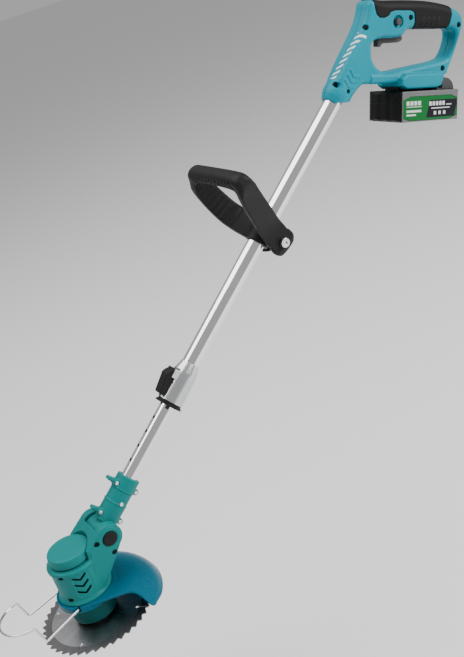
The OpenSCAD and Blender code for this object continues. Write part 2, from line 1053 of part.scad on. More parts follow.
module lock_off_button() {
    color([0.45, 0.44, 0.45])
        on_handle()
            rod(button_spot[0], button_spot[1], 5.3, -23, 15.5);
}

module power_switch() {
    color([0.16, 0.16, 0.17])
        on_handle()
            translate([-34, -8, 151])
                cube([26, 16, 18]);
}

module control_board() {
    color([0.1, 0.32, 0.18])
        on_handle() {
            translate([50, -24, 64.5])
                cube([38, 48, 1.6]);
            translate([56, -16, 66.1])
                cube([14, 12, 5]);
            translate([74, 2, 66.1])
                cube([10, 14, 4]);
        }
}

module terminal_block() {
    color([0.14, 0.14, 0.15])
        on_handle() {
            translate([14, -20, 62.6])
                cube([30, 40, 4]);
            for (y = [-8, 0, 8])
                translate([15, y - 0.4, 57.5])
                    cube([22, 0.8, 5.1]);
        }
}

// ------------------------------------------------------------------ battery

module battery_tray() {
    color([0.1, 0.1, 0.1])
        on_handle()
            difference() {
                union() {
                    translate([0, -pack_y + 1.6, 0])
                        cube([pack_l, 2 * pack_y - 3.2, 30]);
                    for (y = [-24, 0, 24])
                        translate([-1.5, y - 5, 2])
                            cube([3, 10, 28]);
                }
                translate([3, 4.6 - pack_y, 3])
                    cube([pack_l - 6, 2 * pack_y - 9.2, 40]);
            }
}

module battery_lid() {
    color([0.1, 0.1, 0.1])
        on_handle()
            difference() {
                union() {
                    translate([0, -pack_y + 1.6, 30])
                        cube([pack_l, 2 * pack_y - 3.2, pack_h - 30]);
                    for (y = [-24, 0, 24])
                        translate([-1.5, y - 5, 30])
                            cube([3, 10, pack_h - 32]);
                    translate([13, -rail_neck_y, pack_h - 1])
                        cube([79, 2 * rail_neck_y, 8]);
                    translate([13, -rail_y, 55])
                        cube([79, 2 * rail_y, 6]);
                }
                translate([3, 4.6 - pack_y, 20])
                    cube([pack_l - 6, 2 * pack_y - 9.2, 21.8]);
                for (y = [-8, 0, 8])
                    translate([10, y - 1.2, 56.5])
                        cube([32, 2.4, 10]);
                // well that the latch sinks into
                translate([93.6, -30.4, 43.8])
                    cube([27.4, 60.8, 20]);
                for (s = [-1, 1])
                    translate([83.5, s * 26.5 - 2.8, 43.8])
                        cube([12, 5.6, 10]);
            }
}

module battery_cells() {
    color([0.1, 0.3, 0.6])
        on_handle()
            for (i = [0 : 5])
                for (z = [12.4, 31.4])
                    rod(13.5 + i * 19, z, 9.1, -32.5, 32.5);
}

module battery_frames() {
    color([0.6, 0.61, 0.62])
        on_handle()
            for (s = [-1, 1])
                translate([0, s * (pack_y - 0.75) - 0.75, 0])
                    difference() {
                        translate([1, 0, 0.5])
                            cube([118, 1.5, 48]);
                        translate([4, -1, 3])
                            cube([112, 4, 37]);
                    }
}

module battery_labels() {
    on_handle()
        for (s = [-1, 1])
            translate([0, s * (pack_y - 1.1) - 0.5, 0])
                color([0.1, 0.5, 0.22])
                    translate([4.1, 0, 3.1])
                        cube([111.8, 1, 36.8]);
}

module battery_latch() {
    color([0.25, 0.25, 0.26])
        on_handle() {
            plate(-30, 30)
                polygon(concat(
                    [[94, 48.4], [120.5, 48.4]],
                    arc(101.5, 48.6, 19.1, 5, 85, 12),
                    [[101, 67.5]]
                ));
            for (s = [-1, 1]) {
                translate([84.5, s * 26.5 - 2.4, 48.4])
                    cube([10.5, 4.8, 2.4]);
                translate([84.8, s * 26.5 - 2.4, 49])
                    cube([3.5, 4.8, 4.4]);
            }
        }
}

// ------------------------------------------------------------------- output

blade();
spindle();
blade_flange();
blade_nut();
bearings();
hub_skirt();
motor();
guard();
head_shell_right();
head_shell_left();
motor_cap();
head_screws();
tilt_bolt();
tilt_button();
spacer_wire();
lower_tube();
neck_half_right();
neck_half_left();
neck_screws();
upper_tube();
lock_sleeve();
lock_flange();
lock_pin();
lock_lever();
motor_lead();
clamp_half_right();
clamp_half_left();
front_loop();
loop_bolt();
loop_knob();
handle_shell_right();
handle_shell_left();
grip_pad_right();
grip_pad_left();
handle_screws();
trigger();
trigger_pin();
lock_off_button();
power_switch();
control_board();
terminal_block();
battery_tray();
battery_lid();
battery_cells();
battery_frames();
battery_labels();
battery_latch();
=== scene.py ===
"""Looks of the cordless brush cutter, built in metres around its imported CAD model."""

import itertools
import json
import math

import bmesh
import bpy
import numpy as np
from mathutils import Matrix, Vector


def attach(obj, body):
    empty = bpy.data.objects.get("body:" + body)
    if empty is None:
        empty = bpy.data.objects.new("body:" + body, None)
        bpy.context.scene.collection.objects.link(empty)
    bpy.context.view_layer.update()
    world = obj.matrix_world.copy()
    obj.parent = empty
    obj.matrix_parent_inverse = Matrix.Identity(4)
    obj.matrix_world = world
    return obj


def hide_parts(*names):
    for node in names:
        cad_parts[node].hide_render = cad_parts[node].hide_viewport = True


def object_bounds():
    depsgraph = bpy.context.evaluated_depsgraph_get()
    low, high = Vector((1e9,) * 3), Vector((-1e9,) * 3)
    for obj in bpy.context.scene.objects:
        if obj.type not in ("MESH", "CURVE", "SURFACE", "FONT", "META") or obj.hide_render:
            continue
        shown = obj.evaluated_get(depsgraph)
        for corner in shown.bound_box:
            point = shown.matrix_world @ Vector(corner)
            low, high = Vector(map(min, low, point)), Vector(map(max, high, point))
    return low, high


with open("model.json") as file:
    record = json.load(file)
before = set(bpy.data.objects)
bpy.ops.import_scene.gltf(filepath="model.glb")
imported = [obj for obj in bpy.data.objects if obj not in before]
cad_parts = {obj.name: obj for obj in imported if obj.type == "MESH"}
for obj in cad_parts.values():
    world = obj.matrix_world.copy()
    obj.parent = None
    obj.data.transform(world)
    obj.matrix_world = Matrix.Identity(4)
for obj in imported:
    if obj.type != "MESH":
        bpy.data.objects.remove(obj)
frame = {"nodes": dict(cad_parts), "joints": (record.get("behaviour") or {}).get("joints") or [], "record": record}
cad_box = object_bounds()
joints = {j["name"]: j for j in frame["joints"]}


# ---------------------------------------------------------------- studio
# A plain pale floor in an evenly lit plain room, under three soft boxes, as for a
# catalogue picture.

camera_data = bpy.data.cameras.new("camera")
camera_data.sensor_width = 36
camera_data.sensor_fit = "AUTO"
camera_data.lens = 51.80
camera_data.clip_end = 20
camera = bpy.data.objects.new("camera", camera_data)
bpy.context.scene.collection.objects.link(camera)
camera.matrix_world = Matrix((
    (0.80559, 0.46017, -0.37319, -0.1781),
    (-0.51108, 0.22110, -0.83061, -1.2318),
    (-0.29970, 0.85986, 0.41330, 0.9223),
    (0, 0, 0, 1),
))
bpy.context.scene.camera = camera


def soft_box(name, place, aim, size, watts):
    """Square area light at place, turned so that it shines at aim."""
    lamp = bpy.data.lights.new(name, "AREA")
    lamp.size = size
    lamp.energy = watts
    holder = bpy.data.objects.new(name, lamp)
    bpy.context.scene.collection.objects.link(holder)
    holder.location = place
    away = Vector(place) - Vector(aim)
    holder.rotation_euler = away.to_track_quat("Z", "Y").to_euler()


soft_box("key_light", (2.3, -2.0, 1.9), (0.5, 0, 0.3), 1.5, 110)
soft_box("top_light", (-0.4, 0.6, 2.8), (0.3, 0, 0.2), 2.6, 90)
soft_box("left_light", (-2.6, -1.6, 1.0), (0.1, 0, 0.1), 1.1, 7)

world = bpy.data.worlds.new("studio")
bpy.context.scene.world = world
world.use_nodes = True
world.node_tree.nodes["Background"].inputs["Color"].default_value = (1, 1, 1, 1)
world.node_tree.nodes["Background"].inputs["Strength"].default_value = 0.42

floor_drop, floor_half = 0.28, 70
floor_z = cad_box[0][2] - floor_drop
floor_mesh = bpy.data.meshes.new("studio_floor")
floor_mesh.from_pydata(
    [(x * floor_half, y * floor_half, floor_z) for x, y in ((-1, -1), (1, -1), (1, 1), (-1, 1))],
    [], [(0, 1, 2, 3)],
)
pale_floor = bpy.data.materials.new("pale_floor")
pale_floor.use_nodes = True
floor_paint = pale_floor.node_tree.nodes["Principled BSDF"]
floor_paint.inputs["Base Color"].default_value = (0.85, 0.85, 0.85, 1)
floor_paint.inputs["Roughness"].default_value = 0.9
floor_mesh.materials.append(pale_floor)
studio_floor = bpy.data.objects.new("studio_floor", floor_mesh)
bpy.context.scene.collection.objects.link(studio_floor)


# ------------------------------------------------------------- chrome tubes
# Upper and lower shaft tubes: drawn steel tube, polished and nickel-chrome plated. The
# lower one slides in the upper one and has a row of holes for the length setting.

class Wire:
    """A node's output socket that does arithmetic: each operator adds a Math node."""

    def __init__(self, finish, socket):
        self.finish = finish
        self.socket = socket

    def math(self, operation, a, b=0.0):
        return self.finish.node("ShaderNodeMath", {"operation": operation}, {0: a, 1: b})

    def __add__(self, other):
        return self.math("ADD", self, other)

    def __radd__(self, other):
        return self.math("ADD", other, self)

    def __sub__(self, other):
        return self.math("SUBTRACT", self, other)

    def __mul__(self, other):
        return self.math("MULTIPLY", self, other)

    def either(self, other):
        return self.math("MAXIMUM", self, other)

    def wrap(self, period):
        """Distance past the last multiple of period."""
        return self.math("FLOORED_MODULO", self, period)


class Finish:
    """A Principled material, whose nodes all come from node()."""

    def __init__(self, name, **constants):
        self.material = bpy.data.materials.new(name)
        self.material.use_nodes = True
        self.tree = self.material.node_tree
        self.shader = self.tree.nodes["Principled BSDF"]
        for socket, value in constants.items():
            self.shader.inputs[socket.replace("_", " ")].default_value = value
        self.place = self.node("ShaderNodeTexCoord", out="Object")

    def node(self, kind, settings=None, inputs=None, out=0):
        made = self.tree.nodes.new(kind)
        for key, value in (settings or {}).items():
            setattr(made, key, value)
        for key, value in (inputs or {}).items():
            if isinstance(value, Wire):
                self.tree.links.new(value.socket, made.inputs[key])
            else:
                made.inputs[key].default_value = value
        return Wire(self, made.outputs[out])

    def feed(self, socket, value):
        self.tree.links.new(value.socket, self.shader.inputs[socket])

    def noise(self, scale, detail=2.0, place=None):
        return self.node(
            "ShaderNodeTexNoise", None,
            {"Vector": place or self.place, "Scale": scale, "Detail": detail}, out="Fac",
        )

    def turned(self, axes, origin):
        """Object coordinates measured from origin along axes, given as rows, in metres."""
        turn = Matrix(axes)
        shift = turn @ Matrix.Translation([-v for v in origin]).to_translation()
        return self.node(
            "ShaderNodeMapping", None,
            {"Vector": self.place, "Rotation": turn.to_euler(), "Location": shift},
        )

    def parts(self, place):
        made = self.tree.nodes.new("ShaderNodeSeparateXYZ")
        self.tree.links.new(place.socket, made.inputs[0])
        return [Wire(self, s) for s in made.outputs]

    def ramp(self, value, low, high):
        """0 where value is under low, 1 where it is over high, smooth between."""
        return self.node(
            "ShaderNodeMapRange", {"interpolation_type": "SMOOTHSTEP"},
            {"Value": value, "From Min": low, "From Max": high},
        )

    def mix(self, share, a, b):
        """Colour a where share is 0, and b where it is 1."""
        made = self.tree.nodes.new("ShaderNodeMix")
        made.data_type = "RGBA"
        for key, value in ((0, share), (6, a), (7, b)):
            if isinstance(value, Wire):
                self.tree.links.new(value.socket, made.inputs[key])
            else:
                made.inputs[key].default_value = value if key == 0 else (*value, 1)
        return Wire(self, made.outputs[2])

    def bump(self, height, depth, strength=1.0):
        """Relief of that height field, depth metres from its lowest to its highest."""
        self.feed("Normal", self.node(
            "ShaderNodeBump", None,
            {"Height": height, "Distance": depth, "Strength": strength}, out="Normal",
        ))

    def band(self, value, low, high, soft=0.0004):
        """1 between low and high, 0 outside, with printed-edge softness."""
        return self.ramp(value, low - soft, low + soft) - self.ramp(value, high - soft, high + soft)

    def overprint(self, share, colour):
        """Ink of that colour over the base colour, where share is 1."""
        under = self.shader.inputs["Base Color"].links[0].from_socket
        self.feed("Base Color", self.mix(share, Wire(self, under), colour))


def dressed(node, finish):
    """The CAD node keeps its mesh and takes the finish."""
    mesh = frame["nodes"][node].data
    mesh.materials.clear()
    mesh.materials.append(finish.material)


def machined(node, finish, edge=0.0, crease=30, parts=2):
    """A merged copy of a CAD node, whose edges are broken by edge metres, stands for it."""
    mesh = frame["nodes"][node].data.copy()
    mesh.name = node + "_finished"
    work = bmesh.new()
    work.from_mesh(mesh)
    bmesh.ops.remove_doubles(work, verts=work.verts, dist=2e-6)
    bmesh.ops.dissolve_limit(
        work, angle_limit=math.radians(0.6), verts=work.verts, edges=work.edges
    )
    for face in work.faces:
        face.smooth = True
    work.to_mesh(mesh)
    work.free()
    mesh.set_sharp_from_angle(angle=math.radians(crease))
    piece = bpy.data.objects.new(node + "_finished", mesh)
    bpy.context.scene.collection.objects.link(piece)
    mesh.materials.clear()
    mesh.materials.append(finish.material)
    if edge:
        bevel = piece.modifiers.new("edges", "BEVEL")
        bevel.width = edge
        bevel.segments = parts
        bevel.limit_method = "ANGLE"
        bevel.angle_limit = math.radians(crease)
        bevel.use_clamp_overlap = True
    owner = next(b for b, ns in frame["record"]["behaviour"]["bodies"].items() if node in ns)
    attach(piece, owner)
    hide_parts(node)
    return piece


shaft_up = np.array(joints["shaft_length"]["axis"])
shaft_under = np.array([shaft_up[2], 0, -shaft_up[0]])
tilt_pivot = np.array(joints["head_tilt"]["pos_m"])

plating = Finish("plated_tube", Metallic=1.0)
along = plating.turned(np.array([shaft_under, (0, 1, 0), shaft_up]).tolist(), tilt_pivot)
stretched = plating.node("ShaderNodeMapping", None, {"Vector": along, "Scale": (90, 90, 1.2)})
drawn = plating.noise(9, 3, stretched)
handled = plating.noise(14, 4)
plating.feed("Base Color", plating.mix(handled, (0.84, 0.85, 0.86), (0.94, 0.94, 0.95)))
plating.feed("Roughness", 0.05 + drawn * 0.09 + plating.ramp(handled, 0.55, 0.8) * 0.08)
plating.bump(drawn, 0.00002, 0.3)
machined("upper_tube", plating, 0.0002)
machined("lower_tube", plating, 0.0002)


# ------------------------------------------------------------- length lock
# Die-cast sleeve on the lower end of the upper tube, bead-blasted and clear coated. Its
# black flange, cam lever and pin clamp the lower tube.

blasted = Finish("blasted_casting", Metallic=0.9)
cloud = blasted.noise(40, 3)
blasted.feed("Base Color", blasted.mix(cloud, (0.50, 0.51, 0.52), (0.66, 0.67, 0.68)))
blasted.feed("Roughness", 0.17 + blasted.noise(900) * 0.12)
blasted.bump(blasted.noise(2600, 1), 0.00008, 0.35)
machined("lock_sleeve", blasted, 0.0006)

nylon = Finish("black_nylon", Specular_IOR_Level=0.18)
speck = nylon.noise(3200, 1)
worn = nylon.noise(28, 4)
nylon.feed("Base Color", nylon.mix(worn, (0.006, 0.006, 0.0065), (0.013, 0.013, 0.0135)))
nylon.feed("Roughness", 0.42 + worn * 0.22)
nylon.bump(speck, 0.00012, 0.5)
machined("lock_flange", nylon, 0.0005)
machined("lock_lever", nylon, 0.0012)

turned_steel = Finish("turned_steel", Metallic=1.0)
rings = turned_steel.noise(60, 3)
turned_steel.feed("Base Color", turned_steel.mix(rings, (0.42, 0.42, 0.43), (0.62, 0.62, 0.63)))
turned_steel.feed("Roughness", 0.22 + turned_steel.noise(700) * 0.2)
turned_steel.bump(turned_steel.noise(1500, 1), 0.00004, 0.3)
for node in ("lock_pin", "spindle", "bearings", "tilt_bolt", "trigger_pin"):
    dressed(node, turned_steel)
for node in ("motor", "motor_lead"):
    dressed(node, nylon)


# ------------------------------------------------------------- saw blade
# Steel disc, stamped and ground in circles, with punched teeth and four expansion slots.
# It is clamped between the spindle's flange and the nut.

saw = Finish("ground_disc", Metallic=1.0)
x, y, z = saw.parts(saw.place)
radius = saw.node("ShaderNodeVectorMath", {"operation": "LENGTH"}, {0: saw.place}, out="Value")
angle = saw.node("ShaderNodeMath", {"operation": "ARCTAN2"}, {0: y, 1: x})
ring_place = saw.node("ShaderNodeCombineXYZ", None, {"X": radius, "Y": angle * 0.012, "Z": z})
grinding = saw.noise(1500, 3, ring_place)
# Painted sheen: broad sectors round the centre are lighter or darker in the plate's colour, standing in for the
# ground steel's reflections. The plate colour below carries this painted reflection.
ray_place = saw.node("ShaderNodeCombineXYZ", None, {"X": angle, "Y": radius * 0.2, "Z": z})
painted_sheen = saw.noise(2.6, 2, ray_place)
outer = saw.ramp(radius, 0.0735, 0.0745)
plate = saw.mix(painted_sheen, (0.20, 0.20, 0.205), (0.58, 0.58, 0.59))
saw.feed("Base Color", saw.mix(outer, plate, saw.mix(grinding, (0.08, 0.08, 0.083), (0.19, 0.19, 0.195))))
saw.feed("Roughness", 0.20 + grinding * 0.22 + outer * 0.12)
saw.bump(grinding, 0.00005, 0.4)
machined("blade", saw, 0.00015)
machined("blade_flange", turned_steel, 0.0004)
machined("blade_nut", turned_steel, 0.0005)


# ------------------------------------------------------------- rear handle
# Two glass-filled nylon shells screwed together round the upper tube. They form the
# neck, the closed hand grip and the battery foot, with every edge well rounded.

class Place:
    """A frame in the object: an origin in millimetres and axes a, y, b given as rows."""

    def __init__(self, origin, a_axis, b_axis):
        self.origin = np.array(origin, float)
        self.axes = np.array([a_axis, (0, 1, 0), b_axis], float)

    def world(self, points):
        return (self.origin + points @ self.axes) / 1000


def curve(points, rounds=2):
    """Closed outline with its corners cut: each round replaces every corner by two
    points, a quarter and three quarters of the way along its sides."""
    p = np.array(points, float)
    for _ in range(rounds):
        q = np.roll(p, -1, axis=0)
        p = np.stack([0.75 * p + 0.25 * q, 0.25 * p + 0.75 * q], 1).reshape(-1, 2)
    return p


def outline(points, a, b):
    """Signed distance from (a, b) to a closed outline, negative inside: the distance to
    the nearest side, with the sign from the parity of the sides crossed."""
    a, b = np.broadcast_arrays(np.asarray(a, float), np.asarray(b, float))
    best = np.full(a.shape, 1e9)
    odd = np.zeros(a.shape, bool)
    for (ax, ay), (bx, by) in zip(points, np.roll(points, -1, axis=0)):
        dx, dy = bx - ax, by - ay
        share = np.clip(((a - ax) * dx + (b - ay) * dy) / (dx * dx + dy * dy + 1e-12), 0, 1)
        best = np.minimum(best, (a - ax - share * dx) ** 2 + (b - ay - share * dy) ** 2)
        over = (ay > b) != (by > b)
        odd ^= over & (a < dx * (b - ay) / (dy if dy else 1e-12) + ax)
    return np.where(odd, -1, 1) * np.sqrt(best)


def slab(side, half, across, r):
    """Outline carried |across| <= half, its edges rounded to radius r."""
    p = side + r
    q = np.abs(across) - (half - r)
    return np.minimum(np.maximum(p, q), 0) + np.hypot(np.maximum(p, 0), np.maximum(q, 0)) - r


def join(p, q, k=0.01):
    """Union of two solids with a fillet of about k between them."""
    h = np.clip(0.5 + 0.5 * (q - p) / k, 0, 1)
    return q + (p - q) * h - k * h * (1 - h)


def cut(p, q, k=0.01):
    """Solid p without solid q, the new edge broken by about k."""
    return -join(-p, q, k)


def box(a, y, b, lo, hi, r=0.5):
    """Signed distance to a box whose edges are rounded to radius r."""
    out = [np.abs(v - (l + h) / 2) - (h - l) / 2 + r for v, l, h in zip((a, y, b), lo, hi)]
    far = np.sqrt(sum(np.maximum(v, 0) ** 2 for v in out))
    return far + np.minimum(np.maximum(np.maximum(out[0], out[1]), out[2]), 0) - r


def rod(p, q, along_axis, spot, r, lo, hi):
    """Flat-ended cylinder round the point spot in the plane (p, q)."""
    return np.maximum(
        np.hypot(p - spot[0], q - spot[1]) - r,
        np.abs(along_axis - (lo + hi) / 2) - (hi - lo) / 2,
    )


def skin(name, solid, place, lo, hi, step, settle=3):
    """Surface on which solid(a, y, b) is zero, from a grid of cubes. Each cube that the
    surface passes through gets one point, the mean of the crossings on its edges, which
    is then pulled onto the surface along the gradient. Four cubes round each crossed
    grid edge make one face."""
    lo, hi = np.array(lo, float), np.array(hi, float)
    axes = [np.arange(l, h + step, step) for l, h in zip(lo, hi)]
    value = solid(axes[0][:, None, None], axes[1][None, :, None], axes[2][None, None, :])
    value = np.broadcast_to(value, [len(v) for v in axes])
    inside = value < 0
    count = np.array(value.shape) - 1
    corners = list(itertools.product((0, 1), repeat=3))
    held = sum(
        inside[i:i + count[0], j:j + count[1], k:k + count[2]].astype(np.int8)
        for i, j, k in corners
    )
    mixed = (held > 0) & (held < 8)
    number = np.full(mixed.shape, -1)
    number[mixed] = np.arange(mixed.sum())
    cell = np.argwhere(mixed)
    total = np.zeros((len(cell), 3))
    hits = np.zeros(len(cell))
    for c in corners:
        for axis in range(3):
            if c[axis]:
                continue
            d = np.array(c)
            d[axis] = 1
            p = value[tuple((cell + c).T)]
            q = value[tuple((cell + d).T)]
            crossed = (p < 0) != (q < 0)
            share = np.where(crossed, p / np.where(p == q, 1, p - q), 0)
            spot = np.array(c) + share[:, None] * (d - np.array(c))
            total[crossed] += spot[crossed]
            hits += crossed
    at = lo + step * (cell + total / hits[:, None])
    small = step * 0.05
    for _ in range(settle):
        here = solid(*at.T)
        slope = np.stack([
            (solid(*(at + small * e).T) - solid(*(at - small * e).T)) / (2 * small)
            for e in np.eye(3)
        ], 1)
        move = (here / np.maximum((slope ** 2).sum(1), 0.2))[:, None] * slope
        at = at - np.clip(move, -0.4 * step, 0.4 * step)
    faces = []
    for axis in range(3):
        one, two = [(1, 2), (2, 0), (0, 1)][axis]
        near = np.take(inside, range(count[axis]), axis)
        far = np.take(inside, range(1, count[axis] + 1), axis)
        edge = np.argwhere(near != far)
        edge = edge[(edge[:, one] > 0) & (edge[:, two] > 0)]
        edge = edge[(edge[:, one] < count[one]) & (edge[:, two] < count[two])]
        e1, e2 = np.eye(3, dtype=int)[one], np.eye(3, dtype=int)[two]
        ring = [number[tuple((edge - s).T)] for s in (e1 + e2, e2, 0 * e1, e1)]
        quad = np.stack(ring, 1)
        outward = near[tuple(edge.T)]
        faces.append(np.where(outward[:, None], quad, quad[:, ::-1]))
    return surface(name, place.world(at), np.concatenate(faces))


def surface(name, points, faces):
    """Smooth-shaded mesh object of those points, in metres, and faces."""
    mesh = bpy.data.meshes.new(name)
    mesh.from_pydata(points.tolist(), [], faces.tolist())
    mesh.polygons.foreach_set("use_smooth", np.ones(len(mesh.polygons), bool))
    mesh.update()
    piece = bpy.data.objects.new(name, mesh)
    bpy.context.scene.collection.objects.link(piece)
    return piece


def stands_for(piece, finish, *nodes):
    """The piece takes the finish, rides on the nodes' body and is shown in their place."""
    bodies = frame["record"]["behaviour"]["bodies"]
    piece.data.materials.append(finish.material)
    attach(piece, next(b for b, ns in bodies.items() if nodes[0] in ns))
    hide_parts(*nodes)
    return piece


def moulded(name, light, dark, rough, grain=2600, depth=0.00006):
    """Injection-moulded polymer: slow mottling of the colour, fine spark-eroded grain and
    faint rubbed patches."""
    made = Finish(name, IOR=1.5, Specular_IOR_Level=0.16)
    drift = made.noise(9, 3)
    fine = made.noise(700, 2)
    tone = made.mix(drift, light, dark)
    made.feed("Base Color", made.mix(fine * 0.16, tone, tuple(0.8 * v for v in dark)))
    rubbed = made.ramp(made.noise(24, 5), 0.55, 0.75)
    made.feed("Roughness", rough + made.noise(1400, 2) * 0.12 - rubbed * 0.06)
    made.bump(made.noise(grain, 1), depth, 0.5)
    return made


slide_axis = np.array(joints["battery_slide"]["axis"])
up_axis = np.array([-slide_axis[2], 0, slide_axis[0]])
hand = Place((756.26, 0, 498.14), slide_axis, up_axis)
shaft = Place(tilt_pivot * 1000, shaft_under, shaft_up)

handle_side = curve([
    (-112, 60), (-82, 42), (-62, 62), (-50, 62.5), (16, 62.5), (60, 63), (112, 71),
    (121, 80), (142, 130), (151, 152), (147, 168), (132, 176.5), (106, 183), (66, 187.5),
    (14, 188), (-26, 187), (-42, 190), (-49, 184), (-50.5, 172), (-57, 152), (-73, 126),
    (-93, 95),
])
hand_hole = curve([
    (-42, 131.5), (-43, 106), (-39, 95), (-31, 86), (-20, 80.5), (-8, 79), (50, 87),
    (112, 95), (124, 105), (132, 124), (134, 137), (128, 144.5), (118, 145.5),
    (75, 145.5), (32, 145.5), (25, 138), (16, 131.5),
])
foot_side = curve([(8, 51.5), (50, 51.5), (90, 51.5), (95, 63), (99, 75), (50, 76), (8, 75)], 1)
grip_side = curve([
    (-44, 205), (-40, 180), (-33.5, 162), (-14, 162), (-5, 173), (20, 173), (37, 173),
    (42, 167), (42, 150), (42, 135), (113, 135), (122, 174), (122, 205), (40, 206),
], 1)
shell_half = 20
wall = 2.0
screw_spots = [(-55, 147.5), (34, 162), (137, 150), (104, 82)]
tube_screw, collar_screw = (-92, 53), (-108.3, 63.2)
tube_r = 14.1
button_at = (8, 155.6)


def handle_form(a, y, b):
    """Both shells without their holes: the side outline less the hand opening, carried to
    +-20 mm with rounded edges, joined to the foot block and to a turned collar."""
    side = np.maximum(outline(handle_side, a, b), -outline(hand_hole, a, b))
    soft = 8 + 5 * np.clip((b - 135) / 30, 0, 1) * np.clip((a + 45) / 30, 0, 1)
    form = slab(side, shell_half, y, soft)
    lip = slab(np.maximum(side, b - 76), shell_half + 1.6, y, 5)
    form = join(form, np.maximum(lip, -45 - a), 3)
    form = join(form, slab(outline(foot_side, a, b), 33, y, 4), 2.5)
    s, under = shaft_coordinates(a, b)
    collar = outline(collar_profile, np.hypot(under, y), s)
    return join(form, collar, 4)


def shaft_coordinates(a, b):
    """Distance up the shaft, and distance under its axis, of points in the handle."""
    turn = np.array([
        [slide_axis @ shaft_up, up_axis @ shaft_up],
        [slide_axis @ shaft_under, up_axis @ shaft_under],
    ])
    start = hand.origin - shaft.origin
    return (
        start @ shaft_up + a * turn[0, 0] + b * turn[0, 1],
        start @ shaft_under + a * turn[1, 0] + b * turn[1, 1],
    )


chevron_shape = np.array([
    (-87.4, 86.1), (-81.6, 74), (-68, 72.6), (-68.4, 76), (-79.4, 77), (-84.6, 87.2),
])
collar_profile = curve([
    (-20, 749), (17.2, 749), (18.4, 751), (23, 761), (23.4, 774), (21, 788), (19, 797), (-20, 797),
], 1)


def handle_solid(a, y, b):
    """The form without the rubber's seat, the tube's bore, the rails' channel, the
    trigger's mouth, the button's ring-shaped recess and the screw holes, and with three
    raised chevrons."""
    form = handle_form(a, y, b)
    seat = np.maximum(outline(grip_side, a, b) - 0.25, -(form + wall + 0.3))
    solid = cut(form, seat, 0.3)
    s, under = shaft_coordinates(a, b)
    solid = cut(solid, np.maximum(np.hypot(under, y) - tube_r, s - 836), 0.6)
    solid = cut(solid, box(a, y, b, (12.7, -24.4, 54.5), (113, 24.4, 61.8)), 0.3)
    solid = cut(solid, box(a, y, b, (12.7, -17.4, 50), (113, 17.4, 56)), 0.3)
    solid = cut(solid, box(a, y, b, (83.7, -29.5, 49), (101, 29.5, 54.2)), 0.3)
    solid = cut(solid, box(a, y, b, (-25, -6.6, 118), (30, 6.6, 147)), 0.6)
    ring = rod(a, b, y, button_at, 9.6, -30, -15.5)
    solid = cut(solid, ring, 2.2)
    solid = cut(solid, rod(a, b, y, button_at, 5.7, -30, 30), 0.6)
    for spot in screw_spots:
        solid = cut(solid, rod(a, b, y, spot, 4.4, -40, -13.5), 0.7)
    solid = cut(solid, rod(a, b, y, tube_screw, 3.3, -40, -13.5), 0.7)
    solid = cut(solid, rod(a, b, y, collar_screw, 4.4, -40, -8), 0.7)
    for k in range(3):
        chevron = outline([(p - 5.5 * k, q - 7.8 * k) for p, q in chevron_shape], a, b)
        solid = join(solid, np.maximum(np.maximum(chevron, form - 1.2), y + 10), 0.4)
    return solid


teal = moulded("teal_shell", (0.0004, 0.27, 0.355), (0.0003, 0.21, 0.28), 0.30)
a_wire, y_wire, b_wire = teal.parts(teal.turned(hand.axes.tolist(), hand.origin / 1000))
neck_foot, neck_line = (-0.112, 0.060), (0.4785, 0.878)
past_foot, over_foot = a_wire - neck_foot[0], b_wire - neck_foot[1]
up_neck = past_foot * neck_line[0] + over_foot * neck_line[1]
in_front = past_foot * neck_line[1] - over_foot * neck_line[0]
middle = y_wire + up_neck * 0.18 - 0.002
slash = (up_neck + middle * 0.55).wrap(0.0105)
stripes = teal.band(slash, 0.001, 0.0056, 0.0003) * teal.band(middle, -0.0062, 0.0062, 0.0003)
stripes = stripes * teal.band(up_neck, 0.013, 0.094, 0.0003) * teal.ramp(in_front, 0.016, 0.012)
teal.overprint(stripes * 0.92, (0.82, 0.84, 0.84))
handle_box = ((-125, -36, 36), (157, 36, 196))
grain_step = 1.15


def half(solid, side, joint=0.04):
    """The half of the solid on the side y < 0 for side -1, or y > 0 for side 1."""
    return lambda a, y, b: np.maximum(solid(a, y, b), joint - side * y)


def half_box(lo, hi, side):
    """The grid box of that half, with room for two points past the joint plane."""
    return ((lo[0], lo[1] if side < 0 else -2.5, lo[2]), (hi[0], 2.5 if side < 0 else hi[1], hi[2]))


for name, side in (("right", -1), ("left", 1)):
    shell = skin("handle_half_" + name, half(handle_solid, side), hand,
                 *half_box(*handle_box, side), grain_step)
    stands_for(shell, teal, "handle_shell_" + name)


# ------------------------------------------------------------- rubber grip
# Soft TPE moulded over the top bar of the grip, in two halves with the shells. It stands
# a little proud, and four slanted ribs on each side give a hold for the thumb.

rib_shapes = [curve([(60 + k, 163), (53.5 + k, 151), (56 + k, 149), (63.5 + k, 161)], 1)
              for k in (0, 11, 22, 33)]


def grip_solid(a, y, b):
    """A skin from 2 mm under the handle's form to 0.9 mm over it, inside the grip's
    outline, with the ribs raised by 0.9 mm more."""
    form = handle_form(a, y, b)
    area = outline(grip_side, a, b)
    raised = 0.9 - 0.9 * np.clip((area + 2.2) / 2.2, 0, 1) ** 2
    for rib in rib_shapes:
        raised = raised + 0.9 * np.clip(-outline(rib, a, b) / 1.2 + 0.4, 0, 1)
    outside = form - raised
    return np.maximum(np.maximum(outside, -(form + wall)), area)


rubber = moulded("grip_rubber", (0.010, 0.009, 0.009), (0.006, 0.0055, 0.0055), 0.50, 1500, 0.00012)
for name, side in (("right", -1), ("left", 1)):
    pad = skin("grip_skin_" + name, half(grip_solid, side), hand,
               *half_box((-50, -25, 125), (130, 25, 196), side), 0.95)
    stands_for(pad, rubber, "grip_pad_" + name)


# ------------------------------------------------- trigger, button and screws
# Trigger and cross button are plain grey acetal. The shells' thread-forming screws sit
# deep in their holes, and one short screw pins the right shell to the tube.

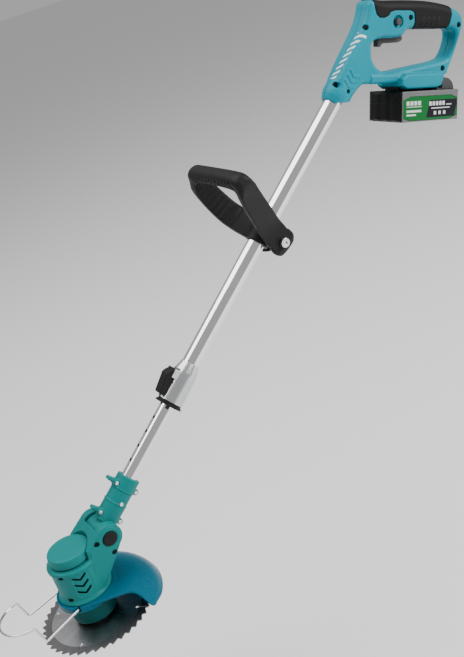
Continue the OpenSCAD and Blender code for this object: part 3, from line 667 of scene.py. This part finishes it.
acetal = moulded("grey_acetal", (0.085, 0.08, 0.083), (0.055, 0.052, 0.054), 0.34)
machined("trigger", acetal, 0.0012, parts=3)
machined("lock_off_button", acetal, 0.0012, parts=3)

blackened = Finish("blackened_screw", Metallic=0.2, Specular_IOR_Level=0.2)
oxide = blackened.noise(300, 3)
blackened.feed("Base Color", blackened.mix(oxide, (0.002, 0.002, 0.0022), (0.006, 0.006, 0.006)))
blackened.feed("Roughness", 0.35 + oxide * 0.25)
for node in ("handle_screws", "head_screws"):
    machined(node, blackened, 0.0003)

bright = Finish("bright_screw", Metallic=1.0)
scuff = bright.noise(400, 3)
bright.feed("Base Color", bright.mix(scuff, (0.55, 0.55, 0.56), (0.82, 0.82, 0.82)))
bright.feed("Roughness", 0.14 + scuff * 0.2)
for node in ("neck_screws", "loop_bolt"):
    machined(node, bright, 0.0005)

board = moulded("solder_mask", (0.02, 0.14, 0.06), (0.012, 0.09, 0.04), 0.35)
dressed("control_board", board)
for node in ("power_switch", "terminal_block"):
    dressed(node, nylon)


# ------------------------------------------------------------- battery
# Black ABS tray and lid screwed into one box with rounded edges, with three ribs on its
# front and rails on top. A silver-painted frame and a printed label sit in each side.

pack_long, pack_half, pack_high, lid_joint = 122.6, 40.2, 48.8, 30.0


def battery_form(a, y, b):
    """Box with edges rounded to 5 mm, three upright ribs in front, side plates' recess,
    the rails, and the latch's well."""
    form = box(a, y, b, (0, -pack_half, 0), (pack_long, pack_half, pack_high), 5)
    for rib in (-22, 0, 22):
        form = join(form, box(a, y, b, (-1.5, rib - 6, 3), (4, rib + 6, 45), 1.4), 0.6)
    form = join(form, box(a, y, b, (13, -17, 46), (92, 17, 56), 0.6), 0.5)
    form = join(form, box(a, y, b, (13, -24, 55), (92, 24, 61), 0.6), 0.5)
    form = cut(form, box(a, y, b, (93.6, -30.4, 43.8), (120.9, 30.4, 64), 0.5), 0.3)
    for spot in (-26.5, 26.5):
        form = cut(form, box(a, y, b, (83.5, spot - 2.8, 43.8), (96, spot + 2.8, 56), 0.3), 0.2)
    for spot in (-8, 0, 8):
        form = cut(form, box(a, y, b, (10, spot - 1.2, 56.5), (42, spot + 1.2, 66), 0.2), 0.2)
    return cut(form, box(a, y, b, (3, -36.4, 3), (119.6, 36.4, 41.8), 1), 0.3)


abs_black = moulded("black_abs", (0.007, 0.007, 0.0075), (0.004, 0.004, 0.0045), 0.36, 2000, 0.0001)
for name, low, high in (("tray", -2, lid_joint - 0.05), ("lid", lid_joint + 0.05, 63)):
    level = (low + high) / 2
    reach = (high - low) / 2
    body = skin(
        "battery_" + name + "_shell",
        lambda a, y, b: np.maximum(battery_form(a, y, b), np.abs(b - level) - reach),
        hand, (-4, -44, low - 2), (126, 44, high + 2), 1.2,
    )
    stands_for(body, abs_black, "battery_" + name)


def side_plate(name, solid, place, finish, node, lo, hi, step=0.7):
    """The same thin plate on both sides of the battery, as one piece."""
    def both(a, y, b):
        return solid(a, np.abs(y), b)
    return stands_for(skin(name, both, place, lo, hi, step), finish, node)


frame_line = curve([(0.8, 0.6), (20, 0.6), (100, 0.6), (119, 0.6), (119, 20), (119, 48.6),
                    (100, 48.6), (20, 48.6), (0.8, 48.6), (0.8, 20)], 0)
window = curve([(2.8, 2), (60, 2), (117.4, 2), (117.4, 20), (117.4, 40.5), (60, 40.5), (2.8, 40.5),
                (2.8, 20)], 1)


def frame_plate(a, far, b):
    """Ring between the frame's outline and its window, 1.5 mm thick with rounded edges."""
    ring = np.maximum(outline(frame_line, a, b), -outline(window, a, b))
    return slab(ring, 0.8, far - (pack_half + 0.75), 0.45)


def label_plate(a, far, b):
    """The window's outline drawn in by 0.15 mm, 1 mm thick with rounded edges."""
    return slab(outline(window, a, b) + 0.15, 0.5, far - (pack_half + 0.35), 0.2)


silver = Finish("silver_paint", Metallic=0.35, Specular_IOR_Level=0.2)
flake = silver.noise(2400, 1)
silver.feed("Base Color", silver.mix(silver.noise(12, 3), (0.12, 0.123, 0.127), (0.18, 0.183, 0.187)))
silver.feed("Roughness", 0.30 + flake * 0.16)
silver.bump(flake, 0.00003, 0.4)
side_plate("battery_side_frames", frame_plate, hand, silver, "battery_frames",
           (-2, -44, -2), (122, 44, 51))

label = Finish("printed_label", Roughness=0.32, IOR=1.5, Specular_IOR_Level=0.2)
a_wire, y_wire, b_wire = label.parts(label.turned(hand.axes.tolist(), hand.origin / 1000))
print_grain = label.noise(900, 2)
green = label.mix(print_grain, (0.0015, 0.105, 0.020), (0.002, 0.135, 0.027))
panel_edge = a_wire - b_wire * 0.28
panel = label.band(panel_edge, 0.050, 0.110) * label.band(b_wire, 0.006, 0.0335)
ink = label.mix(panel, green, (0.006, 0.006, 0.011))
marks = None
for a0, a1, b0, b1 in (
    (0.010, 0.016, 0.0265, 0.033), (0.018, 0.024, 0.0265, 0.033), (0.026, 0.032, 0.0265, 0.033),
    (0.034, 0.040, 0.0265, 0.033), (0.010, 0.042, 0.0235, 0.0246), (0.010, 0.041, 0.0155, 0.019),
    (0.010, 0.030, 0.010, 0.0125), (0.058, 0.063, 0.0245, 0.031), (0.065, 0.070, 0.0245, 0.031),
    (0.072, 0.077, 0.0245, 0.031), (0.079, 0.084, 0.0245, 0.031), (0.086, 0.091, 0.0245, 0.031),
    (0.094, 0.106, 0.0245, 0.026), (0.062, 0.102, 0.0195, 0.0212), (0.068, 0.073, 0.010, 0.0155),
    (0.078, 0.083, 0.010, 0.0155), (0.088, 0.093, 0.010, 0.0155),
):
    block = label.band(a_wire, a0, a1) * label.band(b_wire, b0, b1)
    marks = block if marks is None else marks.either(block)
label.feed("Base Color", label.mix(marks * 0.8, ink, (0.74, 0.76, 0.76)))
label.bump(print_grain, 0.00002, 0.3)
side_plate("battery_side_labels", label_plate, hand, label, "battery_labels",
           (-2, -44, -2), (122, 44, 46))

dressed("battery_cells", moulded("cell_film", (0.04, 0.10, 0.35), (0.03, 0.07, 0.26), 0.3))


# ------------------------------------------------------------- battery latch
# Dark grey quarter-round button at the pack's rear top edge. Its crown has fine ribs for
# the thumb, and two hooks under the foot hold the pack.

def latch_solid(a, y, b):
    """Quarter round of 19 mm radius over the pack's top, |y| <= 30, with ribs of 2.2 mm
    pitch across its crown, and the two hooks."""
    radius = np.hypot(a - 101.5, b - 48.6)
    turn = np.degrees(np.arctan2(b - 48.6, a - 101.5))
    ribs = 0.35 * np.cos(turn * 2 * math.pi / 7) * (np.abs(y) < 26)
    round_part = np.maximum(np.maximum(radius - 18.8 + ribs, 48.4 - b), 94.2 - a)
    form = slab(round_part, 30, y, 1.0)
    for spot in (-26.5, 26.5):
        form = np.minimum(form, box(a, y, b, (84.5, spot - 2.4, 48.4), (96, spot + 2.4, 50.8), 0.3))
        form = np.minimum(form, box(a, y, b, (84.8, spot - 2.4, 49), (88.3, spot + 2.4, 53.4), 0.3))
    return form


dark_grey = moulded("dark_grey_nylon", (0.075, 0.075, 0.078), (0.045, 0.045, 0.047), 0.42, 2000, 0.0001)
stands_for(skin("latch_button", latch_solid, hand, (82, -32, 46), (123, 32, 70), 0.7),
           dark_grey, "battery_latch")


# ------------------------------------------------------------- guard
# Hood of glossy teal-blue polycarbonate over the back of the blade. Its roof is flat, its
# flank is a quarter ellipse, its free edge is beaded, and a collar joins it to the head.

deck, hood_r, hood_roof, hood_low, rim_lift = 50.0, 112.4, 53.5, 1.2, 9.0
world_place = Place((0, 0, 0), (1, 0, 0), (0, 0, 1))
hood_half = [
    (-18, 44), (8, 55), (32, 62.5), (45, 64.5), (52, 70.5), (57.5, 80), (61.5, 88),
    (66, 90.5), (72, 89.5), (80, 82), (140, 60),
]
hood_plan = curve([(x, -y) for x, y in hood_half] + [(x, y) for x, y in hood_half[::-1]], 2)
hood_flank = np.linspace(0, math.pi / 2, 24)
hood_shape = np.array(
    [(-20, deck)] + [(hood_roof + (hood_r - hood_roof) * math.sin(t),
                     hood_low + (deck - hood_low) * math.cos(t)) for t in hood_flank]
    + [(hood_r, -9), (-20, -9)]
)


def guard_solid(x, y, z):
    """Shell just under the hood's turned form, cut to its plan. It is 3 mm thick, and
    its thickness grows to 5 mm at the beaded edge."""
    rho = np.hypot(x, y)
    depth = outline(hood_shape, rho, z)
    plan = outline(hood_plan, x, y)
    low = z - (hood_low + rim_lift)
    edge = np.minimum(-plan, low)
    thick = 1.5 + 1.1 * np.clip(1 - np.abs(edge) / 6, 0, 1) ** 2
    diamond = np.abs(rho - 95) / 8 + np.abs(np.arctan2(-y, x) - 0.645) * 95 / 9
    thick = thick + 0.7 * np.clip(1.9 - np.abs(diamond - 1) * 9, 0, 1)
    shell = np.abs(depth + 1.5) - thick
    shell = -join(-shell, join(-plan, low, 14), 1.6)
    collar = np.maximum(rho - 47.5, np.abs(z - (deck - 5)) - 5)
    form = join(shell, collar, 2.5)
    form = cut(form, np.maximum(rho - 29.75, -z), 0.4)
    for side in (-1, 1):
        slot = box(x, y, z, (-62, side * 35 - 3.2, deck - 7.4), (-25, side * 35 + 3.2, deck + 12), 1)
        form = cut(form, slot, 0.6)
    form = cut(form, np.maximum(np.hypot(x + 28, z - 46) - 1.85, np.abs(np.abs(y) - 28) - 12), 0.2)
    return form


polycarbonate = Finish("glossy_guard", IOR=1.55, Specular_IOR_Level=0.12)
depth_tone = polycarbonate.noise(5, 2)
polycarbonate.feed("Base Color", polycarbonate.mix(depth_tone, (0.0008, 0.075, 0.125), (0.001, 0.12, 0.185)))
dust = polycarbonate.ramp(polycarbonate.noise(60, 5), 0.5, 0.8)
polycarbonate.feed("Roughness", 0.26 + dust * 0.14)
polycarbonate.bump(polycarbonate.noise(420, 1), 0.00003, 0.3)
stands_for(skin("guard_hood", guard_solid, world_place, (-50, -98, 6), (116, 98, 53), 1.15),
           polycarbonate, "guard")


# ------------------------------------------------------------- hub skirt
# Dark teal cup under the guard that covers the bearings. It is a plain turned form that
# tapers a little to a rounded lip.

def skirt_solid(x, y, z):
    """Turned cup: 36 mm radius, hollow from below, with a boss for the bearings."""
    rho = np.hypot(x, y)
    outside = outline(curve([(-20, 6), (33.5, 6), (35.6, 7.5), (36, 12), (36, 39.8), (29.6, 39.8),
                             (29.6, 49.8), (-20, 49.8)], 1), rho, z)
    hollow = np.maximum(np.maximum(rho - 33.5, 14 - rho), z - 36.5)
    form = cut(outside, hollow, 0.5)
    form = cut(form, np.maximum(rho - 33.5, z - 17), 0.5)
    return cut(form, rho - 11.05, 0.2)


skirt_teal = moulded("dark_teal_skirt", (0.001, 0.10, 0.10), (0.0008, 0.07, 0.07), 0.38)
stands_for(skin("hub_cup", skirt_solid, world_place, (-38, -38, 4), (38, 38, 52), 1.0),
           skirt_teal, "hub_skirt")


# ------------------------------------------------------------- spacer wire
# Bent from one length of plated spring wire. Its two ends hook into the guard's collar,
# and its half-round front keeps the blade off walls and trunks.

def tube(name, path, r, around=14):
    """Round bar: a circle of radius r carried along the path, in millimetres. Each ring is
    square to the mean of the two sides it joins, and both ends are closed with a fan."""
    p = np.array(path, float)
    ahead = np.gradient(p, axis=0)
    ahead /= np.linalg.norm(ahead, axis=1, keepdims=True)
    across = np.zeros_like(p)
    across[0] = np.cross(ahead[0], (0.3, 0.2, 0.93))
    for i in range(1, len(p)):
        across[i] = across[i - 1] - (across[i - 1] @ ahead[i]) * ahead[i]
    across[0] /= np.linalg.norm(across[0])
    across /= np.linalg.norm(across, axis=1, keepdims=True)
    other = np.cross(ahead, across)
    t = np.arange(around) * 2 * math.pi / around
    ring = p[:, None] + r * (
        np.cos(t)[None, :, None] * across[:, None] + np.sin(t)[None, :, None] * other[:, None]
    )
    points = np.concatenate([ring.reshape(-1, 3), p[:1], p[-1:]])
    i, j = np.meshgrid(np.arange(len(p) - 1), np.arange(around), indexing="ij")
    k = (j + 1) % around
    sides = np.stack([i * around + j, i * around + k, (i + 1) * around + k, (i + 1) * around + j], -1)
    j = np.arange(around)
    k = (j + 1) % around
    last = (len(p) - 1) * around
    top = len(p) * around
    caps = [[top, b, a] for a, b in zip(j, k)] + [[top + 1, last + a, last + b] for a, b in zip(j, k)]
    faces = sides.reshape(-1, 4).tolist() + caps
    mesh = bpy.data.meshes.new(name)
    mesh.from_pydata((points / 1000).tolist(), [], faces)
    mesh.polygons.foreach_set("use_smooth", np.ones(len(faces), bool))
    piece = bpy.data.objects.new(name, mesh)
    bpy.context.scene.collection.objects.link(piece)
    return piece


def rounded_path(points, radius, steps=8):
    """The polyline with an arc of about that radius at each inner corner."""
    p = np.array(points, float)
    out = [p[0]]
    for a, b, c in zip(p, p[1:], p[2:]):
        u, v = a - b, c - b
        lu, lv = np.linalg.norm(u), np.linalg.norm(v)
        reach = min(radius, lu * 0.45, lv * 0.45)
        start, end = b + u / lu * reach, b + v / lv * reach
        t = np.linspace(0, 1, steps)[:, None]
        out.extend((1 - t) ** 2 * start + 2 * t * (1 - t) * b + t ** 2 * end)
    out.append(p[-1])
    return np.array(out)


front_turn = np.linspace(-math.pi / 2, math.pi / 2, 33)[1:-1]
half_round = [(-98 - 40 * math.cos(t), 40 * math.sin(t), 65) for t in front_turn]
side_run = [(-28, -21, 46), (-28, -35, 46), (-90, -40, 33), (-98, -40, 65)]
wire_line = rounded_path(side_run + half_round + [(x, -y, z) for x, y, z in side_run[::-1]], 4)
spring_wire = Finish("plated_wire", Metallic=1.0)
streak = spring_wire.noise(250, 3)
spring_wire.feed("Base Color", spring_wire.mix(streak, (0.62, 0.62, 0.63), (0.86, 0.86, 0.87)))
spring_wire.feed("Roughness", 0.10 + streak * 0.14)
stands_for(tube("guard_wire", wire_line, 1.8), spring_wire, "spacer_wire")


# ------------------------------------------------------------- motor head
# Two matt teal nylon shells, screwed together from the right, hold the upright motor and
# carry the tilt joint between their cheeks. A plain cap closes the motor's top.

pivot = tilt_pivot[[0, 2]] * 1000
slot_top, slot_foot = math.radians(129), math.radians(-70)
cheek_turn = np.radians(np.linspace(-52, 129, 22))
cheek_side = np.array(
    [(4, 50), (24, 50), (27, 58)]
    + [(pivot[0] + 21.5 * math.cos(t), pivot[1] + 21.5 * math.sin(t)) for t in cheek_turn]
    + [(18, 124), (10, 72)]
)
barrel_shape = curve([
    (-20, 50), (42.4, 50), (42.6, 52.4), (39.6, 55.6), (38.5, 58), (38.5, 80), (38.5, 101),
    (40.7, 102.6), (40.9, 107.6), (38.6, 110.2), (-20, 110.2),
], 1)
vent = [(-18.5, 6.5), (-8, 0), (3, 7), (3, 3.2), (-8, -3.6), (-18.5, 2.7)]
panel_side = curve([(7.5, 107), (9.5, 72), (3, 63), (-22, 60), (-20, 80), (-18.5, 100.5)], 1)
cheek_screw_spots = [(36, 126.5), (55.5, 98.5)]


def head_solid(x, y, z):
    """Barrel and cheeks, joined, less the motor's room, the cap's seat, the slot that the
    neck swings in, three vee slots on each side in a sunk panel, and the holes."""
    rho = np.hypot(x, y)
    barrel = outline(barrel_shape, rho, z)
    panel = np.clip(-outline(panel_side, x, z) / 1.2, 0, 1)
    barrel = barrel + 0.9 * panel * (rho > 34)
    side = outline(cheek_side, x, z)
    half_wide = 34.9 + 1.1 * np.clip((-side - 3.6) / 1.0, 0, 1)
    cheeks = slab(side, half_wide, y, 2.2)
    px, pz = x - pivot[0], z - pivot[1]
    above = math.cos(slot_top) * pz - math.sin(slot_top) * px
    behind = math.sin(slot_foot) * px - math.cos(slot_foot) * pz
    reach = np.minimum(np.minimum(above, behind), np.hypot(px, pz) - 17.6)
    cheeks = cut(cheeks, np.maximum(reach, np.abs(y) - 19.8), 1.0)
    form = join(barrel, cheeks, 2.5)
    form = cut(form, np.maximum(rho - 33.9, 110.3 - z), 0.6)
    form = cut(form, np.maximum(rho - 35.9, np.abs(z - 78.6) - 29.6), 0.3)
    form = cut(form, np.maximum(rho - 28, 100 - z), 0.3)
    for level in (67.5, 80, 92.5):
        slot = outline([(a, level + b) for a, b in vent], x, z)
        form = cut(form, np.maximum(slot, 32.5 - rho), 0.5)
    form = cut(form, rod(x, z, y, pivot, 11.8, -40, -29), 0.7)
    form = cut(form, rod(x, z, y, pivot, 9, 30.5, 40), 0.4)
    form = cut(form, np.hypot(px, pz) - 5, 0.2)
    for spot in cheek_screw_spots:
        form = cut(form, rod(x, z, y, spot, 4.4, -40, -30), 0.6)
    for level in (59, 102.3):
        form = cut(form, rod(x, z, y, (-31, level), 3.3, -60, -18), 0.5)
    return form


head_teal = moulded("teal_head", (0.0003, 0.20, 0.192), (0.0002, 0.16, 0.155), 0.42, 2100, 0.0001)
head_box = ((-46, -46, 47), (83, 46, 149))
for name, side in (("right", -1), ("left", 1)):
    shell = skin("head_half_" + name, half(head_solid, side), world_place,
                 *half_box(*head_box, side), 0.95)
    stands_for(shell, head_teal, "head_shell_" + name)

cap_shape = curve([(-20, 110.6), (33.5, 110.6), (33.5, 118), (33.5, 124), (32.2, 127.3),
                   (26, 127.3), (-20, 127.3)], 1)


def cap_solid(x, y, z):
    """Turned cap, 33.5 mm radius, flat on top with a rounded edge, hollow inside."""
    rho = np.hypot(x, y)
    return cut(outline(cap_shape, rho, z), np.maximum(rho - 30.5, z - 124.5), 0.3)


stands_for(skin("motor_top", cap_solid, world_place, (-36, -36, 108), (36, 36, 130), 0.9),
           head_teal, "motor_cap")
machined("tilt_button", nylon, 0.0008, parts=3)


# ------------------------------------------------------------- shaft neck
# Two teal nylon halves clamp the lower tube with five screws. Raised rings mark the
# screw bosses, and two finger tabs stand on the front.

neck_shape = np.array([
    (-20, 14), (17.2, 14), (17.9, 15), (18.2, 26), (18.2, 45.6), (18.9, 46.2), (18.9, 47.8),
    (17.8, 48.4), (17.8, 67.6), (18.9, 68.2), (18.9, 69.8), (18.4, 70.4), (18.4, 89.4),
    (17.9, 90), (-20, 90),
])


def neck_solid(x, y, s):
    """Turned sleeve, joined to the cross hub of the tilt joint, four bosses and two tabs,
    less the tube's socket and the screw recesses."""
    rho = np.hypot(x, y)
    form = outline(neck_shape, rho, s)
    form = join(form, slab(np.hypot(x, s) - 17, 19.5, y, 1.2), 2)
    for spot in ((-18, 75), (-18.5, 25), (20, 73), (20, 23)):
        form = join(form, slab(np.hypot(x - spot[0], s - spot[1]) - 4.6, 8, y, 0.8), 1.5)
    for level in (76.5, 26.5):
        reach = np.clip(x, -31, -16)
        tab = slab(np.hypot(x - reach, s - level) - 3, 6, y, 1.6)
        form = join(form, tab, 2.0)
    form = cut(form, np.maximum(rho - 12.56, 41.6 - s), 0.4)
    form = cut(form, np.maximum(rho - 5, 12 - s), 0.2)
    form = cut(form, np.hypot(x, s) - 5.05, 0.2)
    for spot in ((-18, 75), (-18.5, 25), (20, 73), (20, 23)):
        form = cut(form, rod(x, s, y, spot, 3.4, -20, -6.4), 0.4)
    return cut(form, rod(x, s, y, (0, 50), 3.4, -30, -17.6), 0.4)


for name, side in (("right", -1), ("left", 1)):
    shell = skin("neck_sleeve_" + name, half(neck_solid, side), shaft,
                 *half_box((-38, -24, -20), (28, 24, 93), side), 0.9)
    stands_for(shell, head_teal, "neck_half_" + name)


# ------------------------------------------------------------- front handle
# D-shaped loop of black glass-filled nylon on a clamp round the tube. Its grip bar is
# rounded, with slanted slots underneath, and its left arm is ribbed inside.

grip_reach, grip_half = 150.0, 76.0
loop_turn = math.radians(116)
loop = Place(
    shaft.origin + 520 * shaft_up + 26 * shaft_under,
    (math.sin(loop_turn), 0, -math.cos(loop_turn)), (math.cos(loop_turn), 0, math.sin(loop_turn)),
)
r, w = grip_reach, grip_half
loop_outside = curve([
    (-27.5, -25), (-27.5, 22), (-32, 36), (-46, 66), (-67, r - 34), (-w - 1, r - 15),
    (-w - 2, r - 6), (-w + 3, r + 3), (-w + 14, r + 8), (-w + 50, r + 11), (w - 20, r + 12),
    (w - 4, r + 6), (w + 5, r - 6), (w + 9, r - 30), (w + 10, r - 60), (w + 7, 58),
    (w - 5, 40), (w - 26, 27), (27.5, 18), (27.5, -25),
], 2)
loop_inside = curve([
    (-19.3, -30), (-19.3, 22), (-24, 38), (-37, 68), (-57, r - 36), (-w + 15, r - 19),
    (-w + 26, r - 13), (w - 20, r - 12), (w - 9, r - 20), (w, r - 34), (w + 1, r - 60),
    (w - 3, 62), (w - 13, 48), (w - 34, 36), (19.3, 22), (19.3, -30),
], 2)
loop_side = curve([
    (-21.5, -2), (21.5, -2), (20, 40), (18, 100), (17.5, r - 3), (14, r + 7), (6, r + 12),
    (-2, r + 11), (-8, r + 4), (-9.5, r - 7), (-17.5, r - 30), (-20, 40),
], 2)


def loop_solid(x, y, z):
    """Front outline crossed with the side outline, rounded to 3 mm on the arms and 9 mm
    on the grip bar, less the slots and with ribs inside the left arm."""
    front = np.maximum(outline(loop_outside, y, z), -outline(loop_inside, y, z))
    rib = np.clip(2.2 - np.abs((z + 3) % 11 - 5.5), 0, 1) * np.clip(y - 30, 0, 1)
    rib = rib * np.clip((124 - z) / 3, 0, 1) * np.clip((z - 42) / 3, 0, 1)
    front = front - 1.3 * rib * (np.abs(x) < 15.5)
    side = np.minimum(outline(loop_side, x, z), np.hypot(x, z) - 22.5)
    soft = 2.2 + 6.8 * np.clip((z - 126) / 14, 0, 1)
    p, q = front + soft, side + soft
    form = np.minimum(np.maximum(p, q), 0) + np.hypot(np.maximum(p, 0), np.maximum(q, 0)) - soft
    step = 9.6
    along = y - 0.45 * (z - 146)
    along = along - np.clip(np.round(along / step), -6, 6) * step
    slot = box(x, along, z, (-16, -1.9, 138.5), (-5.2, 1.9, 153), 1)
    form = cut(form, slot, 0.7)
    return cut(form, np.hypot(x, z) - 4.05, 0.3)


stands_for(skin("loop_grip", loop_solid, loop, (-24, -92, -24), (24, 94, 166), 1.15),
           nylon, "front_loop")
for node in ("clamp_half_right", "clamp_half_left", "loop_knob"):
    machined(node, nylon, 0.0008)
